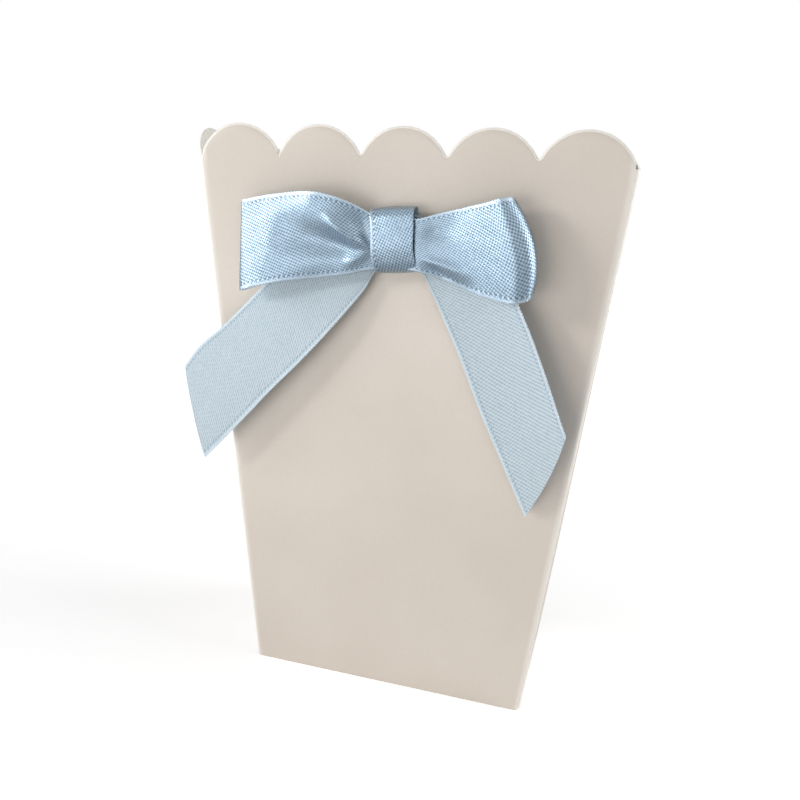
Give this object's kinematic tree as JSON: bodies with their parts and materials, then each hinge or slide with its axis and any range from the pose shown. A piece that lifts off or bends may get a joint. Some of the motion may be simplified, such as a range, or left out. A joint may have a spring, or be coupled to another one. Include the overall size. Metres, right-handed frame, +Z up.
{
  "type": "popcorn favour box",
  "caption": "Tapered open-top card carton with scalloped rim, tuck-end bottom on a hinge and a satin ribbon bow on its front wall.",
  "frame": {"origin": "middle of the bottom face of the carton, on the surface that it stands on", "axes": "+Z up out of the mouth, -Y out of the front wall that carries the bow, +X to the right seen from the front"},
  "size_m": [0.0983, 0.0674, 0.1326],
  "materials": {
    "board": "satin pearl-coated warm off-white folding board, 0.45 mm",
    "board_inside": "matt uncoated white side of the folding board",
    "satin": "glossy light blue satin ribbon",
    "satin_reverse": "duller reverse side of the satin ribbon",
    "glue": "clear adhesive dot"
  },
  "bodies": {
    "carton": {"front_panel": "board", "back_panel": "board", "left_side_panel": "board", "right_side_panel": "board", "glue_tab": "board_inside", "bow_glue_dot": "glue", "bow_knot_band": "satin", "bow_left_loop": "satin", "bow_right_loop": "satin", "bow_left_tail": "satin_reverse", "bow_right_tail": "satin_reverse"},
    "bottom": {"bottom_panel": "board"},
    "tongue": {"tuck_tongue": "board"},
    "left_flap": {"left_dust_flap": "board_inside"},
    "right_flap": {"right_dust_flap": "board_inside"}
  },
  "joints": [
    {"name": "bottom_hinge", "type": "hinge", "parent": "carton", "child": "bottom", "pos_m": [0, 0.01965, 0], "axis": [1, 0, 0], "range_deg": [0, 100]},
    {"name": "tongue_hinge", "type": "hinge", "parent": "bottom", "child": "tongue", "pos_m": [0, -0.01965, 0.00045], "axis": [1, 0, 0], "range_deg": [0, 30]},
    {"name": "left_flap_hinge", "type": "hinge", "parent": "carton", "child": "left_flap", "pos_m": [-0.03333, 0, 0.0012], "axis": [0, -1, 0], "range_deg": [0, 80]},
    {"name": "right_flap_hinge", "type": "hinge", "parent": "carton", "child": "right_flap", "pos_m": [0.03333, 0, 0.0012], "axis": [0, 1, 0], "range_deg": [0, 80]}
  ],
  "couplings": [
    {"joint": "tongue_hinge", "follows": "bottom_hinge", "ratio": 0.3}
  ]
}
